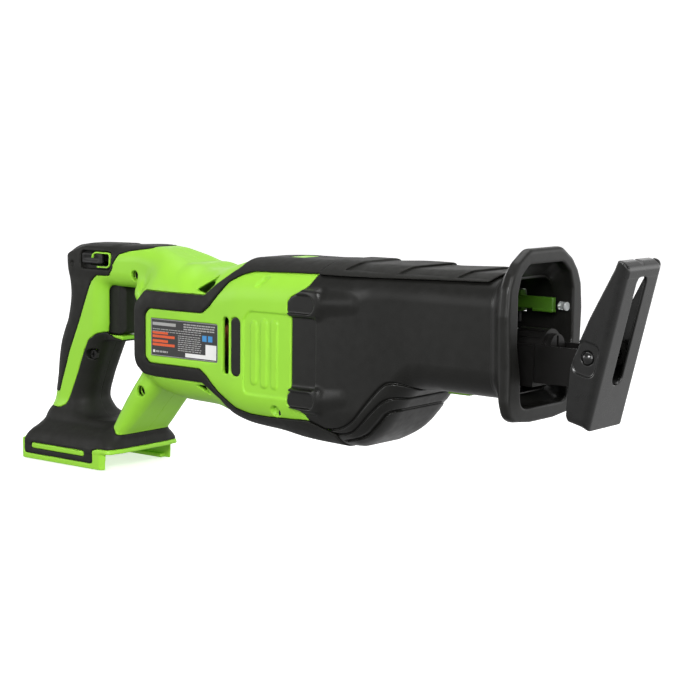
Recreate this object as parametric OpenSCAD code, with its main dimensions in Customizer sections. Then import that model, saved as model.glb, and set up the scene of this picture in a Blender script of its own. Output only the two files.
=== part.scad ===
// Cordless reciprocating saw: D-handle clamshell body, in-line motor, crank and
// yoke drive, flared nose, quick blade clamp and sliding, tilting shoe.
// +X points to the blade end, +Y to the left side, +Z up. The origin is at the
// middle of the bounding box, on the plane that the battery foot stands on.

/* [Body] */
// Distance from the rear of the foot to the origin
rear_x = 237; // [230:1:240]
// Half width of the body beside the label
body_y = 36; // [35:0.5:38]
// Half width of the body round the motor and gear case
motor_y = 38; // [37:0.5:39]
// Height of the top of the body
top_z = 151; // [149:0.5:153]
// Wall thickness of the plastic shells
wall = 3; // [2.5:0.1:3.5]
// Thickness of the soft overmoulded skins
skin = 1.5; // [1:0.1:1.8]

/* [Nose] */
// Half width of the barrel behind the flared nose
barrel_y = 34; // [32:0.5:35]
// Height of the underside of the barrel
barrel_z = 79; // [76:1:82]
// X of the front face of the nose ring
nose_x = 174; // [170:1:176]

/* [Drive] */
// Height of the motor axis
motor_z = 97; // [96:0.5:98]
// Height of the plunger axis
plunger_z = 110; // [110:0.5:111]
// X of the vertical crank axis
crank_x = 49; // [47:1:50]
// Crank throw, half of the blade stroke
throw = 14; // [12:0.5:14]
// Radius of the plunger shaft
plunger_r = 7; // [6:0.5:7]
// Radius of the motor shaft
shaft_r = 4; // [3:0.5:4]
// Radial running clearance of shafts in their bushes
fit = 0.04; // [0.02:0.01:0.08]

/* [Shoe] */
// Half width of the shoe
shoe_y = 20.8; // [20:0.2:22]
// Forward lean of the shoe plate in degrees
shoe_tilt = 14; // [12:0.2:15]
// Width of the slot that the blade runs through
slot_w = 11; // [9:0.5:12]

/* [Trigger] */
// Half width of the trigger
trigger_y = 8.8; // [8:0.2:9]

/* [Hidden] */
$fn = 32;
BIG = 600;
LIME = [0.60, 0.88, 0.26];
BLACK = [0.16, 0.16, 0.15];
GREY = [0.30, 0.30, 0.29];
STEEL = [0.70, 0.70, 0.72];
DARK_STEEL = [0.28, 0.27, 0.26];
COPPER = [0.80, 0.45, 0.25];
BRASS = [0.85, 0.68, 0.30];
BOARD = [0.10, 0.40, 0.22];
ALUMINIUM = [0.62, 0.63, 0.65];
RED_WIRE = [0.70, 0.10, 0.10];
BLUE_WIRE = [0.10, 0.20, 0.60];
CLEAR = [0.90, 0.92, 0.90];
// Height of the thick skins above the shells
RAISED = 1.2;
// Outer radius of the bearings and bushes that run along X
BUSH_R = 11;

// Stations along X of the motor body: [x, half width, low z, high z, corner radius]
BODY = [[-127, 29, 76, 120, 11], [-121, body_y - 1, 68, 130, 15],
    [-108, body_y, 58, 140, 22], [-63, body_y, 53, 141.5, 24],
    [-31, motor_y, 45, top_z, 26], [-6, motor_y, 44, top_z, 26], [13, motor_y, 41, top_z + 0.5, 26]];
// Stations along X of the arm that joins the handle to the body
ARM = [[-205, 12.3, 129, 149.3, 9], [-160, 16.5, 126, top_z, 9], [-136, 18, 126, top_z + 1, 9],
    [-120, 22, 124, top_z - 1, 12], [-98, 26, 110, 142, 14]];
// Stations up the handle: [z, rear x, front x, half width, corner radius]
HANDLE = [[15, -230, -188, 18, 10], [36, -228.5, -190, 17.5, 12], [44, -227, -192, 16.5, 12],
    [58, -224.5, -187, 16.5, 12], [82, -220.3, -177, 17, 12], [98, -214, -171.5, 17, 12],
    [118, -210, -171.5, 17, 12], [148, -210, -165, 15, 11]];
// Stations up the sloping strut in front of the hand
STRUT = [[23, -161, -149.5, 25, 4], [60, -131.5, -112, 25, 6], [72, -128, -100, 25, 8]];
// Stations up the foot
FOOT = [[12, -rear_x + 0.2, -149, 35, 4], [20, -rear_x + 3, -150, 33.5, 6],
    [27, -rear_x + 5.5, -154, 24, 10], [31, -231, -160, 19, 10]];
// Stations along X of the nose cover, chin included
COVER = [[13.4, motor_y, 41, top_z + 0.5, 26], [30, motor_y, 40, top_z + 1, 26],
    [56, motor_y, 39.5, top_z + 1, 24], [75, motor_y - 0.5, 48, top_z + 1, 24],
    [95, 36, 67, top_z + 0.5, 22], [109, barrel_y + 1, barrel_z, top_z, 20],
    [160, barrel_y, barrel_z, top_z, 18]];
// Front view outlines of the nose ring, right half from top to bottom: [y, z]
RING_OUT = [[18, 167], [29.5, 160], [35.6, 153], [39.5, 145], [41, 130], [39.5, 100],
    [39.5, 80], [37, 72], [31, 69], [12, 67]];
RING_IN = [[18, 158], [26, 152], [29.5, 142], [29.5, 112], [26, 95], [25, 76]];
// Side view regions of the soft skins: [x, z]
BACK_SKIN = [[-245, 160], [-128, 160], [-129, 152.5], [-146, 149.5], [-156, 147.5], [-161, 140],
    [-165, 132.5], [-178, 132], [-184, 127], [-189, 115], [-196, 98], [-206, 76], [-214, 55],
    [-216, 48], [-245, 44]];
FRONT_SKIN = [[-160, 88], [-173, 92], [-178, 91], [-186, 87], [-191, 78], [-198, 62],
    [-206, 45], [-208, 40], [-213, 36], [-245, 36], [-245, 14.5], [-130, 14.5], [-130, 25],
    [-160, 25], [-160, 60], [-150, 88]];
BAND_OUT = [[-119, 70], [-124, 75], [-124, 118], [-116, 126], [-61, 126], [-52, 134], [-36, 146],
    [-36, 160], [13, 160], [13, 145], [-22, 144.5], [-40, 138], [-55, 120], [-62, 115],
    [-109, 115], [-113, 111], [-113, 83], [-109, 79], [-64, 79], [-58, 75], [-36, 56],
    [-10, 52], [13, 52], [13, 30], [-40, 30], [-62, 70]];
PINION_R = 6.4;
CASE_R = 31.5;
GEAR_TOP = 88;
PIVOT = [213.5, 0, 108.5];
FAN_BLADES = 11;
GEAR_TEETH = 44;
PINION_TEETH = 9;

// A thin rounded rectangle of sides a and b and corner radius r, grown by g all round
module rounded_slice(a, b, r, g) {
    corner = max(r + g, 1);
    linear_extrude(0.1, center = true)
        offset(r = corner, $fn = 16)
            square([a + 2 * (g - corner), b + 2 * (g - corner)], center = true);
}

// A thin slice square to X with rounded corners, grown by g all round
module slice_x(s, g, dx = 0)
    translate([s[0] + dx, 0, (s[2] + s[3]) / 2]) rotate([90, 0, 90])
        rounded_slice(2 * s[1], s[3] - s[2], s[4], g);

// A thin slice square to Z with rounded corners, grown by g all round
module slice_z(s, g, dz = 0)
    translate([(s[1] + s[2]) / 2, 0, s[0] + dz])
        rounded_slice(s[2] - s[1], 2 * s[3], s[4], g);

// Shift of an end slice, so that a grown or shrunk body moves its ends too
function end_shift(i, n, g) = i == 0 ? -g : i == n - 1 ? g : 0;

module loft_x(list, g = 0)
    for (i = [0 : len(list) - 2]) hull() {
        slice_x(list[i], g, end_shift(i, len(list), g));
        slice_x(list[i + 1], g, end_shift(i + 1, len(list), g));
    }

module loft_z(list, g = 0)
    for (i = [0 : len(list) - 2]) hull() {
        slice_z(list[i], g, end_shift(i, len(list), g));
        slice_z(list[i + 1], g, end_shift(i + 1, len(list), g));
    }

// A straight passage through an end wall, with the section of station s
module passage_x(s, x0, x1, g)
    hull() for (x = [x0, x1]) slice_x([x, s[1], s[2], s[3], s[4]], g);

// The part of the children on one side of the parting plane: side is -1 or 1
module half(side)
    intersection() {
        children();
        translate([-BIG / 2, side > 0 ? 0 : -BIG, -BIG / 2]) cube(BIG);
    }

// A side view outline carried through the whole width
module region(points)
    translate([0, BIG / 2, 0]) rotate([90, 0, 0]) linear_extrude(BIG) polygon(points);

// Everything inside the outer surface of the clamshell, grown by g
module body_form(g = 0) {
    loft_x(BODY, g);
    loft_x(ARM, g);
    loft_z(HANDLE, g);
    loft_z(STRUT, g);
    loft_z(FOOT, g);
}

module cyl_x(x0, x1, r, z, y = 0, fn = 48)
    translate([x0, y, z]) rotate([0, 90, 0]) cylinder(h = x1 - x0, r = r, $fn = fn);

module cyl_y(x, z, y0, y1, r, fn = 32)
    translate([x, y0, z]) rotate([-90, 0, 0]) cylinder(h = y1 - y0, r = r, $fn = fn);

module cyl_z(x, z0, z1, r, y = 0, fn = 48)
    translate([x, y, z0]) cylinder(h = z1 - z0, r = r, $fn = fn);

module box(x0, x1, y0, y1, z0, z1)
    translate([x0, y0, z0]) cube([x1 - x0, y1 - y0, z1 - z0]);

// A bearing or bush: a tube along X
module tube_x(x0, x1, r_in, r_out, z)
    difference() {
        cyl_x(x0, x1, r_out, z);
        cyl_x(x0 - 1, x1 + 1, r_in, z);
    }

// ---------------------------------------------------------------- screws
// Screws that join the two halves: [x, z, half length]
SCREWS = [[-184, 76, 12], [-139, 134, 13], [-128, 57, 18], [-53, 132.5, 27], [4, 57, 31]];

module screw_bosses()
    for (s = SCREWS) cyl_y(s[0], s[1], -s[2] - 4, s[2] + 4, 4.6, 20);

// Holes for the shanks, with counterbores for the heads on the right side
module screw_holes(side)
    for (s = SCREWS) {
        cyl_y(s[0], s[1], -s[2] - 0.1, s[2] + 0.1, 2.1, 20);
        if (side < 0) cyl_y(s[0], s[1], -60, -s[2] + 0.1, 3.4, 20);
    }

module housing_screws()
    color(STEEL) for (s = SCREWS) {
        cyl_y(s[0], s[1], -s[2], s[2] - 0.3, 1.9);
        difference() {
            cyl_y(s[0], s[1], -s[2] - 2.2, -s[2] + 0.05, 3.2);
            box(s[0] - 2, s[0] + 2, -s[2] - 3, -s[2] - 1, s[1] - 0.5, s[1] + 0.5);
            box(s[0] - 0.5, s[0] + 0.5, -s[2] - 3, -s[2] - 1, s[1] - 2, s[1] + 2);
        }
    }

// ---------------------------------------------------------------- clamshell
MOTOR_RIBS = [-88, -58];
STATOR_R = 28;
LOCK_Z = [139, 147];

module motor_ribs()
    for (x = MOTOR_RIBS) intersection() {
        box(x - 1.5, x + 1.5, -60, 60, 50, 145);
        difference() {
            loft_x(BODY, -0.5);
            cyl_x(x - 5, x + 5, STATOR_R + 0.2, motor_z);
        }
    }

module trigger_window()
    box(-179, -150, -trigger_y - 0.6, trigger_y + 0.6, 88.4, 125.9);

module lock_off_recess(side)
    box(-194, -163, side * 16 - 2.5, side * 16 + 2.5, LOCK_Z[0] - 0.6, LOCK_Z[1] + 0.6);

// Room for the bar that joins the two lock-off levers
module lock_bar_slot()
    box(-186, -170, -15, 15, LOCK_Z[0] + 0.6, LOCK_Z[1] - 0.6);

// Battery rails, with the lips that the pack slides over
module battery_rails() {
    for (side = [-1, 1]) {
        box(-rear_x, -156, side > 0 ? 31.5 : -35, side > 0 ? 35 : -31.5, 0, 13);
        box(-rear_x + 2, -160, side > 0 ? 27.5 : -32, side > 0 ? 32 : -27.5, 0, 3);
    }
    box(-rear_x, -rear_x + 3, -35, 35, 0, 13);
}

module clamshell(side)
    color(LIME) half(side) difference() {
        union() {
            difference() {
                body_form();
                body_form(-wall);
                translate([0, 0, -BIG + 11.5]) cube([BIG * 2, BIG, BIG * 2], center = true);
            }
            intersection() {
                body_form(-0.5);
                union() {
                    screw_bosses();
                    motor_ribs();
                    box(-rear_x + 1, -151, -34, 34, 11.6, 14.4);
                }
            }
            battery_rails();
        }
        screw_holes(side);
        trigger_window();
        for (s = [-1, 1]) {
            lock_off_recess(s);
            translate([0, s * 36, 0]) box(-43, -37, -4, 4, 78, 114);
            translate([0, s * (motor_y + 0.6), 0]) box(-36, -28, -2.4, 2.4, 77, 115);
            translate([0, s * body_y, 0]) box(-107.6, -47.6, -0.6, 1, 83.9, 109.1);
        }
        lock_bar_slot();
        box(-231, -204, -13, 13, 11, 15);
        passage_x(BODY[6], 8, 15, -wall);
        skins(0.02);
    }

// Soft skins lie in pockets of this depth in the shells
module skins(gap = 0)
    difference() {
        union() {
            intersection() {
                body_form(3);
                region(BACK_SKIN);
                box(-BIG, -126, -50, 50, 36, 200);
            }
            intersection() {
                body_form(3);
                region(FRONT_SKIN);
                box(-BIG, -120, -50, 50, 14.5, 100);
            }
            intersection() {
                body_form(3);
                region(BAND_OUT);
                box(-130, 13.5, -50, 50, 30, 160);
            }
        }
        body_form(-skin - gap);
    }

module skin_piece(side, points, grow, x0, x1, z0, z1)
    color(GREY) half(side) difference() {
        intersection() {
            body_form(grow);
            region(points);
            box(x0, x1, -50, 50, z0, z1);
        }
        body_form(-skin);
        screw_holes(side);
        trigger_window();
        for (s = [-1, 1]) lock_off_recess(s);
        lock_bar_slot();
        box(-30, 5, -2.1, 2.1, 148, 160);
    }

module housing_right() clamshell(-1);
module housing_left() clamshell(1);
module handle_back_grip_right() skin_piece(-1, BACK_SKIN, 0, -BIG, -126, 36, 200);
module handle_back_grip_left() skin_piece(1, BACK_SKIN, 0, -BIG, -126, 36, 200);
module front_grip_right() skin_piece(-1, FRONT_SKIN, 0, -BIG, -120, 14.5, 100);
module front_grip_left() skin_piece(1, FRONT_SKIN, 0, -BIG, -120, 14.5, 100);
module body_band_right() skin_piece(-1, BAND_OUT, RAISED, -130, 13, 30, 160);
module body_band_left() skin_piece(1, BAND_OUT, RAISED, -130, 13, 30, 160);

module label(side)
    color(GREY) translate([0, side * (body_y - 0.3), 0]) box(-107.3, -47.9, -0.25, 0.25, 84.2, 108.8);
module label_right() label(-1);
module label_left() label(1);

module vent_inserts()
    color(BLACK) for (s = [-1, 1])
        translate([0, s * (motor_y - 0.9), 0]) box(-35.8, -28.2, -0.8, 0.8, 77.2, 114.8);

// ---------------------------------------------------------------- nose
LEVER_WINDOW = [127, 147, 124.5, 140.5];
BUTTON_X = [112, 127];

module nose_cover()
    color(BLACK) difference() {
        loft_x(COVER);
        loft_x(COVER, -wall);
        passage_x(COVER[0], 12, 18, -wall);
        passage_x(COVER[6], 155, 162, -wall);
        box(LEVER_WINDOW[0], LEVER_WINDOW[1], 25, 60, LEVER_WINDOW[2], LEVER_WINDOW[3]);
        box(BUTTON_X[0] - 0.5, BUTTON_X[1] + 0.5, -8.5, 8.5, 70, 90);
    }

module nose_top_grip()
    color(GREY) difference() {
        union() {
            intersection() {
                loft_x(COVER, RAISED);
                box(14, 156, -50, 50, 144, 170);
            }
            for (p = [[24.3, 154.2], [66.4, 154.1], [108.5, 153.4]])
                box(p[0], p[0] + 24, -10.3, 10.3, 150, p[1]);
        }
        loft_x(COVER);
        box(0, 180, -50, 50, 60, 140);
    }

module chin_grip()
    color(GREY) difference() {
        intersection() {
            loft_x(COVER, RAISED);
            box(26, 86, -50, 50, 20, 60);
        }
        loft_x(COVER, 0.02);
    }

// The ring outline, both sides, made from its right half
function both_sides(p) = concat([for (q = p) [q[0], q[1]]],
    [for (i = [len(p) - 1 : -1 : 0]) [-p[i][0], p[i][1]]]);

// A ring outline between the barrel's outline (f = 0) and the flared one (f = 1)
function flared(p, f, g = 0) = [for (q = p) [
    q[0] * (f + (1 - f) * (barrel_y + g) / RING_OUT[4][0]),
    f * q[1] + (1 - f) * (barrel_z - g + (q[1] - 67) * (top_z - barrel_z + 2 * g) / 100)]];

module ring_slice(x, points)
    translate([x, 0, 0]) rotate([90, 0, 90]) linear_extrude(0.1) polygon(both_sides(points));

FLARE_STEPS = 5;
FLARE_START = 160.1;
FLARE_END = 168;

module nose_ring()
    color(BLACK) difference() {
        union() {
            hull() {
                ring_slice(FLARE_END, RING_OUT);
                ring_slice(nose_x - 0.1, RING_OUT);
            }
            for (i = [0 : FLARE_STEPS - 1]) hull() for (k = [i, i + 1])
                ring_slice(FLARE_START + k * (FLARE_END - FLARE_START) / FLARE_STEPS,
                    flared(RING_OUT, pow(k / FLARE_STEPS, 1.5), 0.8));
        }
        hull() {
            ring_slice(159, flared(RING_OUT, 0, -3.5));
            ring_slice(FLARE_END, RING_IN);
        }
        hull() {
            ring_slice(FLARE_END - 0.5, RING_IN);
            ring_slice(nose_x + 1, RING_IN);
        }
    }

module led_lens()
    color(CLEAR) difference() {
        translate([166.2, 28.4, 131]) rotate([0, 90, -14]) cylinder(h = 5, r = 2.6, $fn = 32);
        box(150, 180, 29.45, 40, 120, 140);
    }

// ---------------------------------------------------------------- gear case
SNOUT_END = 130;

module gear_case_lower()
    color(ALUMINIUM) difference() {
        union() {
            cyl_z(crank_x, 70, 91, CASE_R);
            cyl_z(crank_x, 50, 72, 16);
        }
        cyl_z(crank_x, 74, 92, CASE_R - 2.5);
        cyl_z(crank_x, 52, 75, 13);
        cyl_z(crank_x, 49, 60, 7);
        box(0, 30, -12, 12, 88.2, 95);
    }

// Places its children at the four screws of the gear case
module at_case_screws()
    for (a = [50, 130, 230, 310])
        translate([crank_x + 27 * cos(a), 27 * sin(a), 0]) children();

module gear_case_upper()
    color(ALUMINIUM) difference() {
        union() {
            cyl_z(crank_x, 91.2, 120, CASE_R);
            box(crank_x - 28, crank_x + 28, -27, 27, 99, 120);
            box(-6, 30, -24, 24, 84, 120);
            cyl_x(60, SNOUT_END, 15, plunger_z);
            box(crank_x + 20, 150, -12, 12, 82.3, 87.9);
            box(crank_x + 20, 84, -12, 12, 87.9, 100);
        }
        box(BUTTON_X[0] - 1, BUTTON_X[1] + 1, -9, 9, 80, 90);
        cyl_z(crank_x, 80, 117.4, CASE_R - 2.5);
        box(crank_x - 25.5, crank_x + 25.5, -24.5, 24.5, 101.5, 117.4);
        box(-3, 31, -21, 21, 87, 117.4);
        cyl_z(crank_x, 60, 91.2, CASE_R + 0.3);
        cyl_x(60, SNOUT_END + 1, BUSH_R, plunger_z);
        cyl_x(-10, 0, BUSH_R, motor_z);
        at_case_screws() cyl_z(0, 117, 121, 1.7);
    }

module gear_case_screws()
    color(STEEL) at_case_screws() {
        cyl_z(0, 120, 122, 3);
        cyl_z(0, 117.5, 120.1, 1.6);
    }

module plunger_bushes()
    color(BRASS) {
        tube_x(82, 96, plunger_r + fit, BUSH_R, plunger_z);
        tube_x(112, 124, plunger_r + fit, BUSH_R, plunger_z);
    }

module plunger_seal()
    color(BLACK) tube_x(124.2, SNOUT_END - 0.5, plunger_r + 0.06, BUSH_R, plunger_z);

module crank_bearings()
    color(STEEL) for (z = [[60.2, 66], [68, 73.8]]) difference() {
        cyl_z(crank_x, z[0], z[1], 13);
        cyl_z(crank_x, z[0] - 1, z[1] + 1, 6 + fit);
    }

module shoe_guide()
    color(DARK_STEEL) {
        box(94, 175, -15, 15, 88, 90);
        for (s = [-1, 1]) {
            box(132, 175, s * 14.15 - 0.85, s * 14.15 + 0.85, 89.9, 112);
            box(94, 132, s * 14.15 - 0.85, s * 14.15 + 0.85, 89.9, 93.4);
        }
    }

// ---------------------------------------------------------------- motor
module motor_bearings()
    color(STEEL) for (x = [[-112, -105], [-6, 0]])
        tube_x(x[0], x[1], shaft_r + fit, BUSH_R, motor_z);

module motor_rear_bracket()
    color(ALUMINIUM) {
        tube_x(-112, -102, BUSH_R, 14, motor_z);
        difference() {
            union() {
                tube_x(-102, -99.5, BUSH_R, STATOR_R, motor_z);
                tube_x(-99.6, -92, 26.2, STATOR_R, motor_z);
            }
            for (a = [0 : 90 : 270]) translate([-101, 0, motor_z]) rotate([a + 45, 0, 0])
                box(-3, 3, 15, 24, -5, 5);
        }
    }

module stator_core()
    color(STEEL) difference() {
        tube_x(-92, -50, 17, STATOR_R, motor_z);
        for (a = [30 : 60 : 330]) translate([0, 0, motor_z]) rotate([a, 0, 0])
            box(-93, -49, 19, 25, -3, 3);
    }

module stator_windings()
    color(COPPER) {
        for (a = [30 : 60 : 330]) translate([0, 0, motor_z]) rotate([a, 0, 0])
            box(-92.1, -49.9, 19.2, 24.8, -2.8, 2.8);
        tube_x(-97, -92.05, 18.5, 25.5, motor_z);
        tube_x(-49.95, -45, 18.5, 25.5, motor_z);
    }

module hall_sensor_board()
    color(BOARD) tube_x(-99.4, -97.8, 12, 25.8, motor_z);

module rotor_shaft()
    color(STEEL) cyl_x(-112, 28, shaft_r, motor_z);

module rotor_core()
    color(DARK_STEEL) tube_x(-91, -51, shaft_r, 16.4, motor_z);

module cooling_fan()
    color(BLACK) {
        tube_x(-42, -29, shaft_r, 8, motor_z);
        tube_x(-31, -29, 7.9, 30, motor_z);
        for (i = [0 : FAN_BLADES - 1])
            translate([0, 0, motor_z]) rotate([i * 360 / FAN_BLADES, 0, 0])
                translate([0, 18, 0]) rotate([35, 0, 0]) box(-41, -30.9, -9, 9, -0.8, 0.8);
    }

// Teeth are plain trapezoids that clear their mate at rest
function tooth(a, r0, r1, half0, half1) = [
    [r0 * cos(a - half0), r0 * sin(a - half0)], [r1 * cos(a - half1), r1 * sin(a - half1)],
    [r1 * cos(a + half1), r1 * sin(a + half1)], [r0 * cos(a + half0), r0 * sin(a + half0)]];

module motor_pinion()
    color(STEEL) translate([20, 0, motor_z]) rotate([90, 0, 90])
        linear_extrude(7.5) difference() {
            union() {
                circle(r = 5.2, $fn = 32);
                for (i = [0 : PINION_TEETH - 1])
                    polygon(tooth(i * 360 / PINION_TEETH - 90, 5, PINION_R, 9, 4.4));
            }
            circle(r = shaft_r, $fn = 32);
        }

// ---------------------------------------------------------------- crank
module crank_gear()
    color(STEEL) difference() {
        union() {
            cyl_z(crank_x, 78, GEAR_TOP, 28);
            translate([crank_x, 0, GEAR_TOP - 0.1]) for (i = [0 : GEAR_TEETH - 1])
                rotate([0, 0, (i + 0.5) * 360 / GEAR_TEETH]) box(22, 28, -0.55, 0.55, 0, 3.5);
        }
        cyl_z(crank_x, 70, 95, 6);
        cyl_z(crank_x, 70, 95, 4, -throw, 32);
    }

module crank_shaft()
    color(STEEL) cyl_z(crank_x, 60.5, 91, 6);

module crank_counterweight()
    color(DARK_STEEL) difference() {
        cyl_z(crank_x, 74.4, 78, 26);
        cyl_z(crank_x, 70, 80, 6);
        box(crank_x - 30, crank_x + 30, -30, 2, 70, 80);
    }

// The pin and its roller pass just under the plunger shaft
PIN_TOP = 102.8;

module crank_pin()
    color(STEEL) cyl_z(crank_x, 78.5, PIN_TOP, 4, -throw);

module crank_roller()
    color(BRASS) difference() {
        cyl_z(crank_x, 92, PIN_TOP, 6, -throw);
        cyl_z(crank_x, 91, PIN_TOP + 1, 4, -throw);
    }

// ---------------------------------------------------------------- plunger
YOKE_Z = [104.5, 115.5];

module plunger_shaft()
    color(STEEL) cyl_x(60, 152, plunger_r, plunger_z);

module yoke()
    color(STEEL) difference() {
        union() {
            box(crank_x - 10, crank_x + 10, -23, 23, YOKE_Z[0], YOKE_Z[1]);
            box(crank_x + 9.9, crank_x + 14, -6, 6, YOKE_Z[0], YOKE_Z[1]);
        }
        translate([crank_x, 0, 100]) {
            box(-6.15, 6.15, -14, 14, 0, 20);
            for (s = [-1, 1]) translate([0, s * 14, 0]) cylinder(h = 20, r = 6.15, $fn = 48);
        }
        cyl_x(60, 80, plunger_r, plunger_z);
    }

module blade_clamp()
    color(DARK_STEEL) difference() {
        cyl_x(146, 182, 8, plunger_z);
        cyl_x(145, 152, plunger_r, plunger_z);
        box(162, 183, -1, 1, plunger_z - 7, plunger_z + 7);
        cyl_y(172, plunger_z, 1, 12, 2, 24);
    }

module clamp_collar()
    color(DARK_STEEL) difference() {
        tube_x(158, 178, 8.05, 10.6, plunger_z);
        for (i = [0 : 11]) translate([0, 0, plunger_z]) rotate([i * 30, 0, 0])
            box(160, 176, -0.8, 0.8, 10, 12);
    }

module collar_spring()
    color(STEEL) for (i = [0 : 3])
        translate([151.5 + 1.6 * i, 0, plunger_z]) rotate([0, 90, 0])
            rotate_extrude($fn = 48) translate([8.9, 0]) circle(r = 0.6, $fn = 16);

// ---------------------------------------------------------------- blade release lever
LEVER_PIVOT = [136, 31, 132];

module blade_release_lever()
    color(LIME) difference() {
        union() {
            box(112, 140, 36, 39.5, 126, 139);
            box(132, 140, 26, 37, 126, 139);
            box(132, 164.5, 22, 27, 127, 137);
        }
        cyl_z(LEVER_PIVOT[0], 120, 145, 1.5 + fit, LEVER_PIVOT[1], 32);
    }

module lever_pin()
    color(STEEL) cyl_z(LEVER_PIVOT[0], 119.5, 142.5, 1.5, LEVER_PIVOT[1], 32);

// ---------------------------------------------------------------- shoe
SHOE_T = 2;
SHOE_LEN = 101;
SHOE_FOOT = [211.6, 0, 64.1];

// A disc or pin on the pivot axis, from y0 to y1 on side s
module cyl_side(s, y0, y1, r)
    cyl_y(PIVOT[0], PIVOT[2], s > 0 ? y0 : -y1, s > 0 ? y1 : -y0, r);

module shoe_arm()
    color(DARK_STEEL) difference() {
        union() {
            box(108, 206, -12.9, 12.9, 90.3, 92.5);
            for (s = [-1, 1]) {
                box(160, 200, s * 12 - 0.9, s * 12 + 0.9, 92.4, 112);
                cyl_side(s, 11.1, 12.9, 7);
                box(199.9, PIVOT[0], s * 12 - 0.9, s * 12 + 0.9, PIVOT[2] - 7, PIVOT[2] + 3.5);
                box(199.9, 206, s * 12 - 0.9, s * 12 + 0.9, 92.4, 102);
                cyl_side(s, 12.8, shoe_y - SHOE_T - 0.3, 5.5);
            }
        }
        cyl_y(PIVOT[0], PIVOT[2], -30, 30, 4);
        for (i = [0 : 5]) box(114 + 9 * i, 118 + 9 * i, -4, 4, 89, 94);
    }

// Two short rivets, so that the blade can pass between them
module shoe_pivot_pin()
    color(STEEL) for (s = [-1, 1]) {
        cyl_side(s, 11.2, shoe_y + 0.2, 4);
        cyl_side(s, shoe_y + 0.1, shoe_y + 1.4, 5.4);
    }

// Middles of the slot's round ends, up the plate
SLOT_Z = [34.5, 88.5];
// Outline of a side flange in the plate's own frame: [distance in front, height]
FLANGE = [[1, 1], [1, 98], [-1.8, 100.5], [-4.2, 97.4], [-13.3, 65.5], [-16.6, 48],
    [-17.8, 34], [-12.8, 8], [-10.5, 3.5], [-6.5, 1]];

module shoe_plate()
    color(DARK_STEEL) difference() {
        translate(SHOE_FOOT) rotate([0, shoe_tilt, 0]) difference() {
            union() {
                for (s = [-1, 1]) translate([0, s > 0 ? shoe_y : -shoe_y + SHOE_T, 0])
                    rotate([90, 0, 0]) linear_extrude(SHOE_T) polygon(FLANGE);
                box(0, SHOE_T, -shoe_y, shoe_y, 0.6, SHOE_LEN);
                box(-6.5, SHOE_T / 2, -15.5, 15.5, SHOE_LEN - SHOE_T, SHOE_LEN);
            }
            box(-1, SHOE_T + 1, -slot_w / 2, slot_w / 2, SLOT_Z[0], SLOT_Z[1]);
            for (z = SLOT_Z) translate([-1, 0, z]) rotate([0, 90, 0])
                cylinder(h = 5, r = slot_w / 2, $fn = 32);
        }
        cyl_y(PIVOT[0], PIVOT[2], -30, 30, 4 + fit);
    }

module shoe_release_button()
    color(LIME) {
        box(BUTTON_X[0], BUTTON_X[1], -8, 8, 77.3, 81);
        box(BUTTON_X[0] + 2, BUTTON_X[1] - 2, -6, 6, 77.3, 81.9);
    }

module release_spring()
    color(STEEL) for (s = [-1, 1]) for (i = [0 : 2])
        translate([119.5, s * 3, 82.5 + 2.2 * i]) rotate_extrude($fn = 32)
            translate([1.8, 0]) circle(r = 0.4, $fn = 16);

// ---------------------------------------------------------------- trigger and lock
module trigger()
    color(BLACK) {
        difference() {
            union() {
                box(-177.5, -163, -trigger_y, trigger_y, 89, 125.3);
                translate([-163, 0, 0]) intersection() {
                    box(-1, 4.5, -trigger_y, trigger_y, 89, 125.3);
                    cyl_z(-18, 80, 130, 22.4);
                }
            }
            box(-179, -170, -6, 6, 92, 98);
            box(-179, -170, -6, 6, 116, 122);
        }
        cyl_x(-190, -177.4, 2, 107);
    }

module trigger_spring()
    color(STEEL) for (i = [0 : 3])
        translate([-185.6 + 2.2 * i, 0, 107]) rotate([0, 90, 0])
            rotate_extrude($fn = 32) translate([4, 0]) circle(r = 0.5, $fn = 16);

module lock_off_slider()
    color(GREY) {
        box(-185, -179, -14.5, 14.5, 140.4, 145.6);
        for (s = [-1, 1]) box(-193, -173, s * 15.3 - 1.2, s * 15.3 + 1.2, LOCK_Z[0], LOCK_Z[1]);
    }

// ---------------------------------------------------------------- electrics
module switch_module()
    color(BLACK) difference() {
        union() {
            box(-204, -186.5, -10.5, 10.5, 93, 124);
            box(-204, -190, -8, 8, 123.9, 127);
        }
        cyl_x(-201, -186, 2.6, 107);
    }

module controller_module()
    color(ALUMINIUM) {
        difference() {
            box(-202, -166, -19, 19, 15.2, 22);
            box(-200, -168, -17, 17, 16.5, 23);
        }
        box(-199.8, -168.2, -16.8, 16.8, 16.4, 20.5);
    }

module terminal_block()
    color(BLACK) {
        box(-230, -206, -12, 12, 9.5, 16);
        box(-230, -216, -12, 12, 4.5, 9.6);
    }

module battery_contacts()
    color(BRASS) for (y = [-9 : 6 : 9]) box(-216, -202, y - 0.4, y + 0.4, 4.8, 9.3);

// A wire: a chain of hulls between small balls
module wire(points, r, y)
    for (i = [0 : len(points) - 2]) hull() {
        translate([points[i][0], y + points[i][1], points[i][2]]) sphere(r, $fn = 8);
        translate([points[i + 1][0], y + points[i + 1][1], points[i + 1][2]]) sphere(r, $fn = 8);
    }

BATTERY_ROUTE = [[-218, 0, 17.8], [-216, 0, 26], [-210, 0, 44],
    [-206, 0, 62], [-201, 0, 80], [-198, 0, 91.4]];
MOTOR_ROUTE = [[-200, 0, 128.4], [-194, 0, 131], [-176, 0, 132], [-160, 0, 136], [-147, 0, 143],
    [-130, 0, 142], [-116, 0, 134], [-104, 0, 121]];

module battery_leads()
    color(RED_WIRE) for (y = [-4, 4]) wire(BATTERY_ROUTE, 1.5, y);

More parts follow.
